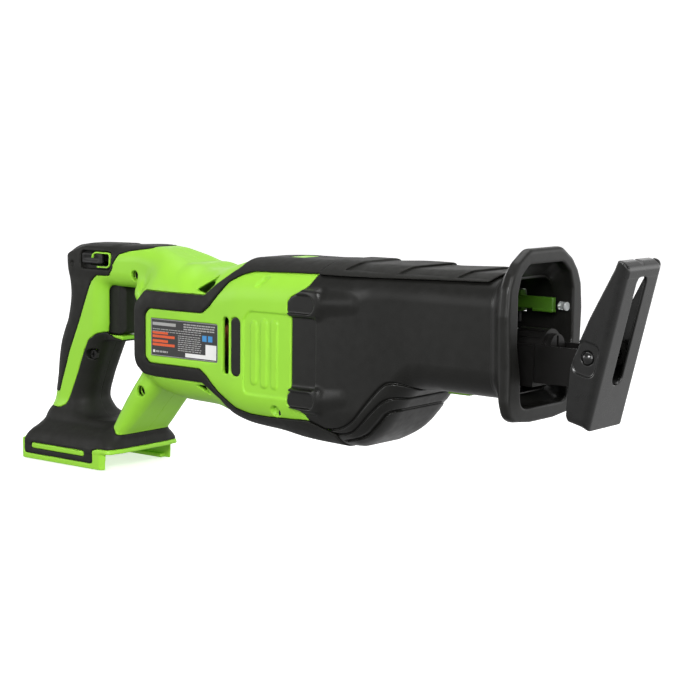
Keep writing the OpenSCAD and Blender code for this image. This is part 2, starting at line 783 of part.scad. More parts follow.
module motor_leads()
    color(BLUE_WIRE) for (y = [-4, 0, 4]) wire(MOTOR_ROUTE, 1.2, y);

housing_right();
housing_left();
handle_back_grip_right();
handle_back_grip_left();
front_grip_right();
front_grip_left();
body_band_right();
body_band_left();
nose_cover();
nose_top_grip();
chin_grip();
nose_ring();
label_right();
label_left();
vent_inserts();
housing_screws();
gear_case_lower();
gear_case_upper();
gear_case_screws();
shoe_guide();
plunger_bushes();
plunger_seal();
crank_bearings();
motor_bearings();
motor_rear_bracket();
stator_core();
stator_windings();
hall_sensor_board();
switch_module();
controller_module();
terminal_block();
battery_contacts();
battery_leads();
motor_leads();
led_lens();
trigger();
trigger_spring();
lock_off_slider();
rotor_shaft();
rotor_core();
cooling_fan();
motor_pinion();
crank_gear();
crank_shaft();
crank_counterweight();
crank_pin();
crank_roller();
plunger_shaft();
yoke();
blade_clamp();
clamp_collar();
collar_spring();
blade_release_lever();
lever_pin();
shoe_arm();
shoe_pivot_pin();
shoe_plate();
shoe_release_button();
release_spring();
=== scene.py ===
import math

import bpy
import numpy as np
import openvdb
from mathutils import Matrix, Vector


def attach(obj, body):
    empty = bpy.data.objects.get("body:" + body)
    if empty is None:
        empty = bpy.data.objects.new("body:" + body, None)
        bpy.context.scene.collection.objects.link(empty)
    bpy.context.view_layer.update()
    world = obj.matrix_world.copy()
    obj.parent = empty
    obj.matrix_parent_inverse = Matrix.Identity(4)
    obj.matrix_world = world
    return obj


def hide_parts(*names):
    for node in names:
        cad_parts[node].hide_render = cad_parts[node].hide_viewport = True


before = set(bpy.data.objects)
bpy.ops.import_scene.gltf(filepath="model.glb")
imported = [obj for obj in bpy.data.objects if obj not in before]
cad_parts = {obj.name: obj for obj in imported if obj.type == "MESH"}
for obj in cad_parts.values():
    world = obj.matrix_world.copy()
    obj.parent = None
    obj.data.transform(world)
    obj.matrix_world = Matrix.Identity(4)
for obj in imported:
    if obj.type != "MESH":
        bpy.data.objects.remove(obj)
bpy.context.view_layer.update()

MM = 0.001
REAL = np.float32
# Spacing of the sample grids, in millimetres
COARSE = 0.6
MIDDLE = 0.5
FINE = 0.32
FINEST = 0.25
# Thickness of the plastic shells, and depth of the soft skins below their surface
WALL = 3.0
SKIN = 1.5
# Half of the gap between a skin and its shell
SEAM = 0.12
MOTOR_Z, PLUNGER_Z = 97, 110
SIDES = (("left", 1), ("right", -1))


# ---------------------------------------------------------------- distance fields
class Grid:
    """A regular grid of sample points in millimetres, with spacing step."""

    def __init__(self, low, high, step):
        self.low, self.step = np.array(low, float), step
        axes = []
        for k in range(3):
            count = int(math.ceil((high[k] - low[k]) / step)) + 1
            line = (low[k] + step * np.arange(count)).astype(REAL)
            axes.append(line.reshape([-1 if i == k else 1 for i in range(3)]))
        self.x, self.y, self.z = axes

    def full(self, d):
        """The field d over the whole grid, whatever it was broadcast from."""
        shape = (self.x.size, self.y.size, self.z.size)
        return np.broadcast_to(d, shape).astype(REAL)

    def even(self, d):
        """Rescales d so that it measures true distance near its surface."""
        d = self.full(d)
        gx, gy, gz = np.gradient(d, self.step)
        slope = np.sqrt(gx * gx + gy * gy + gz * gz)
        return d / np.clip(slope, 0.5, 3.0)

    def side(self, flat):
        """A field that was computed in the X-Z plane, for every Y."""
        return flat[:, None, :]

    def front(self, flat):
        """A field that was computed in the Y-Z plane, for every X."""
        return flat[None, :, :]

    def top(self, flat):
        """A field that was computed in the X-Y plane, for every Z."""
        return flat[:, :, None]

    @property
    def xz(self):
        return self.x[:, 0, :] + 0 * self.z[0, 0, :], self.z[0, 0, :] + 0 * self.x[:, 0, :]

    @property
    def yz(self):
        return self.y[0, :, :] + 0 * self.z[0, 0, :], self.z[0, 0, :] + 0 * self.y[0, :, :]

    @property
    def xy(self):
        return self.x[:, :, 0] + 0 * self.y[0, :, 0], self.y[0, :, 0] + 0 * self.x[:, :, 0]


def both(a, b, k=0.0):
    """The overlap of two fields, with an edge rounded by about k."""
    if k <= 0:
        return np.maximum(a, b)
    h = np.clip(0.5 - 0.5 * (b - a) / k, 0, 1)
    return b + (a - b) * h + k * h * (1 - h)


def join(a, b, k=0.0):
    """The union of two fields, with a fillet of about k."""
    if k <= 0:
        return np.minimum(a, b)
    return -both(-a, -b, k)


def cut(a, b, k=0.0):
    """The field a without b, with an edge rounded by about k."""
    return both(a, -b, k)


def clip01(v):
    """Limits v to between 0 and 1."""
    return np.clip(v, 0.0, 1.0)


def ramp(v, low, high):
    """Rises smoothly from 0 at low to 1 at high."""
    t = clip01((v - low) / (high - low))
    return t * t * (3 - 2 * t)


def through(xs, vs, x):
    """A smooth curve through stations, that never overshoots them."""
    xs, vs = np.array(xs, float), np.array(vs, float)
    gap = np.diff(xs)
    slope = np.diff(vs) / gap
    m = np.zeros_like(vs)
    m[0], m[-1] = slope[0], slope[-1]
    for i in range(1, len(vs) - 1):
        if slope[i - 1] * slope[i] > 0:
            a, b = 2 * gap[i] + gap[i - 1], gap[i] + 2 * gap[i - 1]
            m[i] = (a + b) / (a / slope[i - 1] + b / slope[i])
    x = np.clip(x, xs[0], xs[-1])
    i = np.clip(np.searchsorted(xs, x) - 1, 0, len(xs) - 2)
    t = (x - xs[i]) / gap[i]
    t2, t3 = t * t, t * t * t
    out = vs[i] * (2 * t3 - 3 * t2 + 1) + vs[i + 1] * (3 * t2 - 2 * t3)
    out = out + gap[i] * (m[i] * (t3 - 2 * t2 + t) + m[i + 1] * (t3 - t2))
    return out.astype(REAL)


def slab_round(u, v, a, b, r):
    """A rectangle of half sizes a and b with corner radius r."""
    qu, qv = np.abs(u) - (a - r), np.abs(v) - (b - r)
    outside = np.sqrt(np.maximum(qu, 0) ** 2 + np.maximum(qv, 0) ** 2)
    return outside + np.minimum(np.maximum(qu, qv), 0) - r


def block(g, low, high, r=0.5):
    """A box between two corners with edges rounded by r."""
    q = []
    for c, a, b in zip((g.x, g.y, g.z), low, high):
        q.append(np.abs(c - (a + b) / 2) - ((b - a) / 2 - r))
    outside = np.sqrt(sum(np.maximum(v, 0) ** 2 for v in q))
    return outside + np.minimum(np.maximum(np.maximum(q[0], q[1]), q[2]), 0) - r


def rod(g, a, b, ra, rb=None):
    """A round bar from a to b, tapering from radius ra to rb."""
    rb = ra if rb is None else rb
    a, b = np.array(a, float), np.array(b, float)
    d = b - a
    px, py, pz = g.x - a[0], g.y - a[1], g.z - a[2]
    t = clip01((px * d[0] + py * d[1] + pz * d[2]) / float(d @ d))
    away = np.sqrt((px - t * d[0]) ** 2 + (py - t * d[1]) ** 2 + (pz - t * d[2]) ** 2)
    return away - (ra + (rb - ra) * t)


def bore_y(g, x, z, r, y0, y1):
    """A round hole along Y."""
    around = np.sqrt((g.x - x) ** 2 + (g.z - z) ** 2) - r
    return np.maximum(around, np.abs(g.y - (y0 + y1) / 2) - (y1 - y0) / 2)


def fillet(points, r, steps=5):
    """The outline with every corner turned into an arc of about radius r."""
    p = [np.array(q, float) for q in points]
    out = []
    for i, q in enumerate(p):
        a, b = p[i - 1] - q, p[(i + 1) % len(p)] - q
        la, lb = np.linalg.norm(a), np.linalg.norm(b)
        a, b = a / la, b / lb
        half = math.acos(max(-1.0, min(1.0, float(a @ b)))) / 2
        back = min(r / max(math.tan(half), 0.05), 0.48 * la, 0.48 * lb)
        p0, p1 = q + a * back, q + b * back
        for s in range(steps + 1):
            t = s / steps
            out.append((1 - t) ** 2 * p0 + 2 * t * (1 - t) * q + t * t * p1)
    return out


def outline(u, v, points, r=0.0):
    """Signed distance to a closed outline, negative inside."""
    pts = fillet(points, r) if r > 0 else [np.array(q, float) for q in points]
    best = np.full(u.shape, 1e9, REAL)
    inside = np.zeros(u.shape, bool)
    for i, b in enumerate(pts):
        a = pts[i - 1]
        e = b - a
        size = float(e @ e)
        if size < 1e-9:
            continue
        t = clip01(((u - a[0]) * e[0] + (v - a[1]) * e[1]) / size)
        best = np.minimum(best, (u - a[0] - t * e[0]) ** 2 + (v - a[1] - t * e[1]) ** 2)
        if abs(e[1]) > 1e-9:
            crosses = ((a[1] > v) != (b[1] > v)) & (u < a[0] + (v - a[1]) * e[0] / e[1])
            inside ^= crosses
    return np.sqrt(best) * np.where(inside, -1, 1).astype(REAL)


def trace(u, v, points):
    """Distance to an open line through the points, smoothed by corner cutting."""
    p = [np.array(q, float) for q in points]
    for _ in range(3):
        q = [p[0]]
        for a, b in zip(p, p[1:]):
            q += [0.75 * a + 0.25 * b, 0.25 * a + 0.75 * b]
        p = q + [p[-1]]
    best = np.full(u.shape, 1e9, REAL)
    for a, b in zip(p, p[1:]):
        e = b - a
        t = clip01(((u - a[0]) * e[0] + (v - a[1]) * e[1]) / max(float(e @ e), 1e-9))
        best = np.minimum(best, (u - a[0] - t * e[0]) ** 2 + (v - a[1] - t * e[1]) ** 2)
    return np.sqrt(best)


def loft_x(g, stations):
    """A body of rounded sections along X: [x, half width, low z, high z, corner radius]."""
    s = np.array(stations, float)
    line = g.x.ravel().astype(float)
    w, low, high, r = (through(s[:, 0], s[:, k], line).reshape(-1, 1, 1) for k in range(1, 5))
    return slab_round(g.y, g.z - (low + high) / 2, w, (high - low) / 2, r)


def loft_z(g, stations):
    """A body of rounded sections up Z: [z, rear x, front x, half width, corner radius]."""
    s = np.array(stations, float)
    line = g.z.ravel().astype(float)
    rear, front, w, r = (through(s[:, 0], s[:, k], line).reshape(1, 1, -1) for k in range(1, 5))
    return slab_round(g.x - (rear + front) / 2, g.y, (front - rear) / 2, w, r)


# ---------------------------------------------------------------- pieces
def mesh_from(name, grid, d):
    """The closed surface where the field d is zero, in metres."""
    reach = 3 * grid.step
    vdb = openvdb.FloatGrid(background=reach)
    vdb.copyFromArray(np.clip(grid.full(d), -reach, reach))
    pts, tris, quads = vdb.convertToPolygons(0.0, 0.0)
    pts = (np.asarray(pts, float) * grid.step + grid.low) * MM
    tris, quads = np.asarray(tris, np.int64).reshape(-1, 3), np.asarray(quads, np.int64).reshape(-1, 4)
    fan = np.concatenate([tris, quads[:, :3], quads[:, [0, 2, 3]]])
    a, b, c = pts[fan[:, 0]], pts[fan[:, 1]], pts[fan[:, 2]]
    if (np.cross(a, b) * c).sum() < 0:
        tris, quads = tris[:, ::-1], quads[:, ::-1]
    mesh = bpy.data.meshes.new(name)
    mesh.vertices.add(len(pts))
    mesh.vertices.foreach_set("co", pts.astype(REAL).ravel())
    corners = np.concatenate([quads.ravel(), tris.ravel()]).astype(np.int32)
    mesh.loops.add(len(corners))
    mesh.loops.foreach_set("vertex_index", corners)
    starts = np.concatenate([4 * np.arange(len(quads)), 4 * len(quads) + 3 * np.arange(len(tris))])
    mesh.polygons.add(len(starts))
    mesh.polygons.foreach_set("loop_start", starts.astype(np.int32))
    mesh.update(calc_edges=True)
    mesh.validate()
    mesh.shade_smooth()
    return mesh


def piece(name, mesh, body, nodes, material):
    """Puts the mesh in the scene, on its CAD body and in place of the CAD nodes."""
    ob = bpy.data.objects.new(name, mesh)
    bpy.context.scene.collection.objects.link(ob)
    mesh.materials.clear()
    mesh.materials.append(material)
    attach(ob, body)
    if nodes:
        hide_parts(*nodes)
    return ob


def mirrored(mesh, name):
    """A copy of the mesh on the other side of the parting plane."""
    twin = mesh.copy()
    twin.name = name
    twin.transform(Matrix.Scale(-1, 4, (0, 1, 0)))
    twin.flip_normals()
    return twin


def whole(g, d):
    """Mirrors a field known for y >= 0 to both sides, and gives its grid."""
    d = g.full(d)
    wide = Grid(g.low, g.low, g.step)
    line = g.y.ravel()
    wide.x, wide.z = g.x, g.z
    wide.y = np.concatenate([-line[:0:-1], line]).reshape(1, -1, 1).astype(REAL)
    wide.low = np.array([g.low[0], -float(line[-1]), g.low[2]])
    return wide, np.concatenate([d[:, :0:-1, :], d], axis=1)


def on_side(name, grid, d, label, nodes, mat):
    """A piece of the housing from a field of its left half, mirrored for the right."""
    full_name = name + "_" + label
    mesh = mesh_from(full_name, grid, d)
    if label == "right":
        mesh = mirrored(mesh, full_name)
    piece(full_name, mesh, "housing", nodes, mat)


# ---------------------------------------------------------------- materials
def srgb(r, g, b):
    """A colour from 0 to 255 a channel, as linear light."""
    return tuple(((c / 255 + 0.055) / 1.055) ** 2.4 if c > 10 else c / 3294.6 for c in (r, g, b)) + (1.0,)


def material(name, colour, rough, grain=0.0, grain_size=0.6, metal=0.0, vary=0.06, coat=0.0,
             wear=None, brushed=None, rough_vary=0.06, specular=0.5, mottle=0.0):
    """A moulded, painted or metal surface: colour drift, surface grain, uneven gloss and worn edges."""
    mat = bpy.data.materials.new(name)
    mat.use_nodes = True
    nodes, links = mat.node_tree.nodes, mat.node_tree.links
    shader = nodes["Principled BSDF"]
    place = nodes.new("ShaderNodeTexCoord").outputs["Object"]
    if brushed:
        stretch = nodes.new("ShaderNodeMapping")
        stretch.inputs["Scale"].default_value = brushed
        links.new(place, stretch.inputs["Vector"])
        fine_place = stretch.outputs["Vector"]
    else:
        fine_place = place

    def noise(scale, detail=3.0, where=place):
        n = nodes.new("ShaderNodeTexNoise")
        n.inputs["Scale"].default_value = scale
        n.inputs["Detail"].default_value = detail
        links.new(where, n.inputs["Vector"])
        return n.outputs["Fac"]

    def span(value, low, high, from_low=0.3, from_high=0.7):
        n = nodes.new("ShaderNodeMapRange")
        for key, v in (("From Min", from_low), ("From Max", from_high), ("To Min", low), ("To Max", high)):
            n.inputs[key].default_value = v
        links.new(value, n.inputs["Value"])
        return n.outputs["Result"]

    def mix(factor, a, b):
        n = nodes.new("ShaderNodeMix")
        n.data_type = "RGBA"
        links.new(factor, n.inputs["Factor"])
        for socket, v in ((n.inputs[6], a), (n.inputs[7], b)):
            if isinstance(v, tuple):
                socket.default_value = v
            else:
                links.new(v, socket)
        return n.outputs[2]

    drift = span(noise(28.0), 0.0, 1.0)
    dark = tuple(c * (1 - vary) for c in colour[:3]) + (1.0,)
    light = tuple(min(c * (1 + vary), 1.0) for c in colour[:3]) + (1.0,)
    base = mix(drift, dark, light)
    gloss = span(noise(190.0, 4.0), rough - rough_vary, rough + rough_vary)
    if mottle > 0:
        speck = span(noise(900.0, 5.0), 0.0, mottle, 0.45, 0.75)
        base = mix(speck, base, tuple(min(c * 1.8 + 0.01, 1.0) for c in colour[:3]) + (1.0,))
    if wear:
        edge = nodes.new("ShaderNodeNewGeometry").outputs["Pointiness"]
        scuff = nodes.new("ShaderNodeMath")
        scuff.operation = "MULTIPLY"
        links.new(span(edge, 0.0, 1.0, wear[1], wear[2]), scuff.inputs[0])
        links.new(span(noise(160.0, 6.0), 0.0, 1.0, 0.42, 0.62), scuff.inputs[1])
        base = mix(scuff.outputs[0], base, wear[0])
    links.new(base, shader.inputs["Base Color"])
    links.new(gloss, shader.inputs["Roughness"])
    shader.inputs["Metallic"].default_value = metal
    shader.inputs["Specular IOR Level"].default_value = specular
    if coat > 0:
        shader.inputs["Coat Weight"].default_value = coat
        shader.inputs["Coat Roughness"].default_value = 0.18
    if grain > 0:
        bump = nodes.new("ShaderNodeBump")
        bump.inputs["Strength"].default_value = 1.0
        bump.inputs["Distance"].default_value = grain * MM
        links.new(noise(1000.0 / grain_size, 2.0, fine_place), bump.inputs["Height"])
        links.new(bump.outputs["Normal"], shader.inputs["Normal"])
    return mat


LIME = material("lime_plastic", srgb(154, 218, 60), 0.42, 0.012, 0.7, vary=0.03, specular=0.32)
# The release lever's lime is darkened as painted shade, for the dark nose cavity it sits in
SHADED_LIME = material("lime_painted_shade", srgb(62, 106, 20), 0.45, 0.012, 0.7, vary=0.05)
RUBBER = material("soft_overmould", srgb(26, 26, 23), 0.6, 0.03, 0.5, vary=0.08, mottle=0.12, specular=0.3)
NOSE = material("black_nylon", srgb(23, 23, 21), 0.36, 0.022, 0.45, vary=0.08, mottle=0.08, specular=0.4)
DARK = material("black_plastic_inner", srgb(18, 18, 17), 0.5, 0.015, 0.6)
SHOE_PAINT = material("black_painted_steel", srgb(9, 9, 8), 0.30, 0.02, 1.4, vary=0.1, coat=0.5,
                      wear=(srgb(150, 146, 140), 0.56, 0.66))
GLOSS = material("black_rivet", srgb(20, 20, 20), 0.16, 0.006, 0.6, metal=0.2, coat=0.6, specular=0.7)
INK_GREY = material("silver_print", srgb(170, 170, 168), 0.45, 0.002, 0.2)
INK_ORANGE = material("orange_print", srgb(226, 92, 44), 0.5, 0.002, 0.2)
INK_BLUE = material("blue_print", srgb(60, 140, 200), 0.5, 0.002, 0.2)
INK_WHITE = material("white_print", srgb(232, 232, 230), 0.5, 0.002, 0.2)
FOIL = material("charcoal_label", srgb(52, 52, 52), 0.38, 0.003, 0.3, vary=0.04)
PLATED = material("zinc_plated_steel", srgb(178, 180, 184), 0.3, 0.01, 0.3, metal=1.0, vary=0.1)
GROUND = material("ground_steel", srgb(170, 171, 174), 0.28, 0.008, 0.25, metal=1.0, brushed=(0.15, 1, 1))
# Black oxide steel for the clamp and shoe parts; on the housing screws its darkness is painted shade in their
# holes
OXIDE_AND_SHADE = material("black_oxide_steel_and_painted_shade", srgb(34, 33, 32), 0.4, 0.02, 0.5, metal=0.6, vary=0.15)
CAST = material("cast_aluminium", srgb(150, 152, 155), 0.5, 0.05, 0.8, metal=1.0, vary=0.08)
BRONZE = material("sintered_bronze", srgb(176, 132, 78), 0.38, 0.02, 0.4, metal=1.0, mottle=0.2)
COPPER = material("enamelled_copper", srgb(176, 92, 48), 0.3, 0.06, 0.9, metal=1.0,
                  brushed=(1, 0.2, 1), coat=0.5)
BOARD = material("solder_mask", srgb(12, 92, 52), 0.35, 0.01, 0.9, mottle=0.3)
RED_WIRE = material("red_insulation", srgb(170, 22, 18), 0.38, 0.01, 0.8)
BLUE_WIRE = material("blue_insulation", srgb(28, 64, 160), 0.38, 0.01, 0.8)
LAMINATE = material("laminated_core", srgb(120, 120, 124), 0.4, 0.05, 0.5, metal=1.0,
                    brushed=(1, 0.05, 0.05))


def lens_material():
    """Clear plastic with a slightly uneven gloss."""
    mat = bpy.data.materials.new("clear_lens")
    mat.use_nodes = True
    nodes, links = mat.node_tree.nodes, mat.node_tree.links
    shader = nodes["Principled BSDF"]
    shader.inputs["Base Color"].default_value = srgb(232, 236, 236)
    shader.inputs["Transmission Weight"].default_value = 0.7
    shader.inputs["IOR"].default_value = 1.49
    shader.inputs["Coat Weight"].default_value = 0.6
    rough = nodes.new("ShaderNodeTexNoise")
    rough.inputs["Scale"].default_value = 600.0
    width = nodes.new("ShaderNodeMapRange")
    width.inputs["To Min"].default_value = 0.05
    width.inputs["To Max"].default_value = 0.2
    links.new(rough.outputs["Fac"], width.inputs["Value"])
    links.new(width.outputs["Result"], shader.inputs["Roughness"])
    return mat


LENS = lens_material()

# ---------------------------------------------------------------- the body's forms
REAR_X = -237.0
# Stations along X: [x, half width, low z, high z, corner radius]
BODY = [[-127, 30.5, 75, 119.5, 11], [-125.2, 33.4, 72, 123, 13], [-121.5, 34.8, 68, 128, 16],
        [-114, 35.6, 62, 135.5, 20], [-106, 36, 57, 140, 23], [-90, 36, 54, 141.5, 24],
        [-63, 36.2, 53, 142, 24], [-48, 37, 49.5, 146.5, 25], [-31, 38, 45.5, 150.5, 26],
        [-6, 38, 43.5, 151.5, 26], [13, 38, 41, 151.5, 26], [30, 38, 40, 152, 26],
        [56, 38, 39.5, 152, 24]]
ARM = [[-207, 12.0, 129, 149.0, 9], [-190, 14, 128, 150.2, 9], [-160, 16.5, 126, 151, 9.5],
       [-136, 18, 126, 152, 10], [-120, 20.5, 124, 151, 12], [-105, 24, 115, 146, 13],
       [-92, 27, 105, 139, 14]]
# Stations up Z: [z, rear x, front x, half width, corner radius]
HANDLE = [[8, -230, -188, 18, 10], [36, -228.5, -190, 17.5, 12], [44, -227, -192, 16.5, 12],
          [58, -224.5, -188, 16.5, 12], [70, -222.8, -183, 16.8, 12], [82, -220.3, -177.5, 17, 12],
          [92, -216.5, -172.5, 17, 12], [100, -213, -171.5, 17, 12], [118, -210, -171.5, 17, 12],
          [135, -210.5, -169, 16.2, 8], [151, -211.5, -165, 15.5, 6]]
STRUT = [[20, -163.5, -152, 25, 5], [30, -157.5, -142, 25, 7], [46, -148.5, -127.5, 25, 9],
         [56, -142, -117.5, 25, 10], [70, -131.5, -102, 25, 10], [78, -127, -95, 25, 10]]
SKIRT = [[11.5, -236.8, -149, 35, 4], [16, -235.6, -149.5, 34.4, 6], [20, -233.5, -151, 32.5, 8],
         [24, -231, -154, 28, 10], [28, -229.5, -159, 22, 10], [34, -228.6, -166, 18.5, 10]]
# The nose cover, stations along X again
COVER = [[10, 38, 41, 151.5, 26], [30, 38, 40, 152, 26], [46, 38, 39.4, 152, 25],
         [56, 37.9, 39.8, 152, 24.5], [65, 37.6, 43.6, 152, 22], [73, 37.3, 49, 152, 20],
         [81, 36.7, 57.5, 151.8, 19], [89, 36, 68, 151.5, 18], [96, 35.4, 76, 151.3, 18],
         [103, 35, 79.4, 151, 18],
         [112, 34.6, 80.2, 151, 18], [160, 34, 79.8, 151, 18], [176, 34, 79.8, 151, 18]]
# Side view regions: [x, z]
BACK_SKIN = [[-245, 162], [-126, 162], [-127, 152.6], [-146, 149.8], [-156, 147.2], [-161.5, 139.5],
             [-165, 132.4], [-168, 131.6], [-178, 131.6], [-184, 127], [-189, 115], [-196, 98],
             [-206, 76], [-214, 55], [-216.3, 47.6], [-219, 47], [-245, 47]]
FRONT_SKIN = [[-160, 87.4], [-168, 88.8], [-174.5, 92.3], [-180, 91], [-187, 86], [-192, 76], [-199, 60],
              [-206, 45], [-209.5, 38.6], [-215, 36.2], [-245, 36.2], [-245, 20], [-233.2, 20],
              [-233.2, 4], [-165, 4], [-165.3, 13.2], [-160, 14.6], [-126, 14.6], [-126, 24.2],
              [-151, 24.2], [-158.2, 33], [-156, 42], [-156, 87]]
BAND_OUT = [[-119, 70], [-124, 75], [-124, 118], [-116, 126.6], [-61, 126.6], [-52, 134], [-36, 146],
            [-32, 165], [52, 165], [42, 157], [31, 145.2], [13, 144.8], [-22, 143.8],
            [-30, 141.6], [-40, 136.6], [-55, 120], [-62, 115], [-109, 115], [-113, 111],
            [-113, 83], [-109, 79], [-64, 79],
            [-58, 75], [-48, 65], [-36, 56], [-24, 53.2], [-10, 53], [27, 55], [40, 51.6],
            [52, 49], [52, 28], [-30, 28], [-40, 44], [-48, 60], [-62, 70]]
GREEN_FRONT = [[-260, -20], [46, -20], [46, 20], [46, 48], [27.5, 54.5], [23, 61], [13.5, 62],
               [11, 64.5], [11, 69.5], [13.6, 72.5], [13.6, 119], [11, 121.5], [11, 127.5],
               [13.5, 130.6], [22, 134.5],
               [26, 138], [28, 142], [29.5, 145.2], [38, 157], [44, 170], [-260, 170]]
# Screws that join the halves: [x, z, y where the head rests]
SCREWS = [[-139, 133.6, 13], [-128.4, 56.8, 18]]
GRIP_SCREW = [-184, 76, 11]
# Middles of the lock-off recess and of the dark pad beside the vent
LOCK_X, LOCK_Z = -178.6, 142
PAD_X, PAD_Z = -31.9, 95.8


def body_form(g):
    """Everything inside the outer surface of the green and black shells, and the motor body alone."""
    body = both(loft_x(g, BODY), -127 - g.x, 5)
    arm = both(loft_x(g, ARM), -207 - g.x, 6)
    arm = both(arm, g.x + 88, 6)
    handle = both(loft_z(g, HANDLE), g.z - 151, 2)
    handle = both(handle, (g.z - 143.5) * 0.93 - (g.x + 211.5) * 0.37, 1.5)
    strut = both(loft_z(g, STRUT), g.z - 78, 2)
    x, y = g.xy
    plan = outline(x, y, [[REAR_X, -35], [REAR_X, 35], [-157, 35], [-151.5, 24], [-148.5, 0],
                          [-151.5, -24], [-157, -35]], 4)
    foot = both(g.top(plan), g.z - 14.6, 0.6)
    foot = both(foot, -g.z, 1.0)
    skirt = both(loft_z(g, SKIRT), g.z - 31, 3)
    skirt = both(skirt, 11.5 - g.z, 0.5)
    d = join(body, arm, 17)
    d = join(d, join(handle, arm, 5), 7)
    ledge = both(block(g, [-184, -11, 86.4], [-159.6, 11, 90.6], 1.4), g.y - 10.5)
    d = join(d, rod(g, [-129.5, -19, 122], [-129.5, 19, 122], 6.0), 9)
    d = join(d, ledge, 3)
    d = join(d, both(strut, -(g.z - 14), 0), 5)
    low = join(foot, skirt, 1.0)
    return join(d, low, 11), body


g = Grid([-242, -2 * COARSE, -3], [49, 42, 158], COARSE)
form, motor_body = body_form(g)
form = g.even(form)
X, Z = g.xz
green_zone = outline(X, Z, GREEN_FRONT, 2.0)
back_zone = outline(X, Z, BACK_SKIN, 3.0)
grip_zone = outline(X, Z, FRONT_SKIN, 2.2)
band_zone = outline(X, Z, BAND_OUT, 4.0)

# Shallow relief on the sides of the motor housing
panel = outline(X, Z, [[-25, 67], [16, 67], [16, 119.5], [-20, 119.5], [-25, 114]], 4)
relief = 1.0 * g.side(ramp(-panel, -0.7, 0.7))
for x, tall in ((-16.5, 20), (-8.2, 21.5), (0.2, 21.5)):
    rib = slab_round(X - x, Z - 93.5, 2.7, tall, 2.6)
    relief = relief - 1.0 * g.side(ramp(-rib, -0.8, 0.8))
mark = outline(X, Z, [[-18, 135], [-12, 141.5], [-6, 141.5], [-13, 135]], 0.8)
relief = relief + 1.2 * g.side(ramp(-mark, -0.4, 1.2))
relief = relief * ramp(g.y, 14, 22)
form = form + relief

# Openings in the shell
slot_front = slab_round(X + 40.2, Z - 96, 2.7, 18.3, 2.6)
slot_rear = slab_round(X - PAD_X, Z - PAD_Z, 4.4, 19.0, 4.2)
label_pocket = slab_round(X + 77.6, Z - 96.5, 29.9, 12.5, 1.6)
trigger_hole = slab_round(g.x + 164, g.z - 108.2, 15, 18.1, 3) + 0 * g.y
trigger_hole = np.maximum(trigger_hole, g.y - 9.5)
lock_pocket = np.maximum(g.side(slab_round(X - LOCK_X, Z - LOCK_Z, 15.4, 6.2, 3.0)), 13.6 - g.y)

# The shell, its floor above the battery bay, and the rails with their lips
bay = block(g, [-232, -40, -6], [-100, 31.4, 11.4], 0.5)
rear_wall = block(g, [-240, -1, 0], [-232, 40, 3], 0.4)
rail_lips = join(block(g, [-235, 27.4, 0], [-160, 36, 3], 0.5), rear_wall)
shell = cut(form, form + WALL)
shell = join(shell, both(form, block(g, [-236, -1, 11.4], [-151, 40, 15], 0.3), 0.3))
shell = cut(shell, bay, 0.4)
shell = join(shell, both(form, both(rail_lips, form, 0.3), 0.3))
shell = join(shell, both(both(form, -bay), g.z - 15))
# Screw towers inside, and ribs that hold the motor
for sx, sz, sy in SCREWS + [GRIP_SCREW]:
    tower = bore_y(g, sx, sz, 4.6, 0, 60)
    shell = join(shell, both(both(tower, form + 0.5), g.y - sy - 2))
for x in (-88, -58):
    ring = np.maximum(np.abs(g.x - x) - 1.5, 28.2 - np.sqrt(g.y ** 2 + (g.z - MOTOR_Z) ** 2))
    shell = join(shell, both(ring, motor_body + 1.0))
# The green shell ends at the nose cover, at the floor and at the rear of the foot
shell = both(shell, g.side(green_zone + 0.15), 0.3)
shell = both(both(shell, 0.1 - g.z, 0.3), REAR_X + 0.1 - g.x, 0.3)
shell = cut(shell, block(g, [38, -5, 20], [60, 50, 50], 0.2))


def skin(zone, raised, edge):
    """A soft skin that fills a side view zone and stands proud of the shell."""
    d = both(form - raised, g.side(zone + SEAM), edge)
    return both(d, -(form + SKIN), 0.2)


def pocket(zone):
    """The shallow pocket in the shell that a soft skin fills."""
    return np.maximum(g.side(zone - SEAM), -(form + SKIN + 0.05))


# The overmoulds carry fine relief of their own
grip_skin = skin(grip_zone, 0.15, 0.7)
back_skin = skin(back_zone, 0.25, 0.8)
band_skin = skin(band_zone, 1.25, 1.1)
band_skin = both(band_skin, g.side(green_zone + 0.15), 0.4)
for zone in (grip_zone, back_zone, band_zone):
    shell = cut(shell, pocket(zone), 0.35)
# A green stripe shows through the skirt, and a green tab through the top of the band
stripe = g.side(slab_round(X + 199.5, Z - 10, 26.6, 2.1, 2.0))
grip_skin = cut(grip_skin, np.maximum(stripe, 30 - g.y), 0.25)
shell = join(shell, np.maximum(both(form - 0.1, stripe + 0.3, 0.5), 33.2 - g.y))
top_slit = np.maximum(block(g, [-12.5, -5, 148], [0.5, 9, 160], 1.2), -form - 2)
band_skin = cut(band_skin, top_slit, 0.3)
shell = join(shell, both(form - 1.1, top_slit + 0.35, 0.8))

# The vent goes through the wall, and the pad and the label lie in recesses
shell = cut(shell, np.maximum(g.side(slot_front), 20 - g.y), 0.5)
shell = cut(shell, np.maximum(g.side(slot_rear), 36.6 - g.y), 0.6)
shell = cut(shell, np.maximum(g.side(label_pocket), 35.3 - g.y), 0.25)
for notch, floor_y in (([[-70, 129.4], [-54.5, 139.6], [-54.5, 133], [-61, 127.4]], 25.5),
                       ([[-69, 68], [-57.5, 61.6], [-60, 68]], 30.0)):
    shell = cut(shell, np.maximum(g.side(outline(X, Z, notch, 0.6)), floor_y - g.y), 0.4)
shell = cut(shell, trigger_hole, 0.8)
shell = cut(shell, lock_pocket, 0.8)
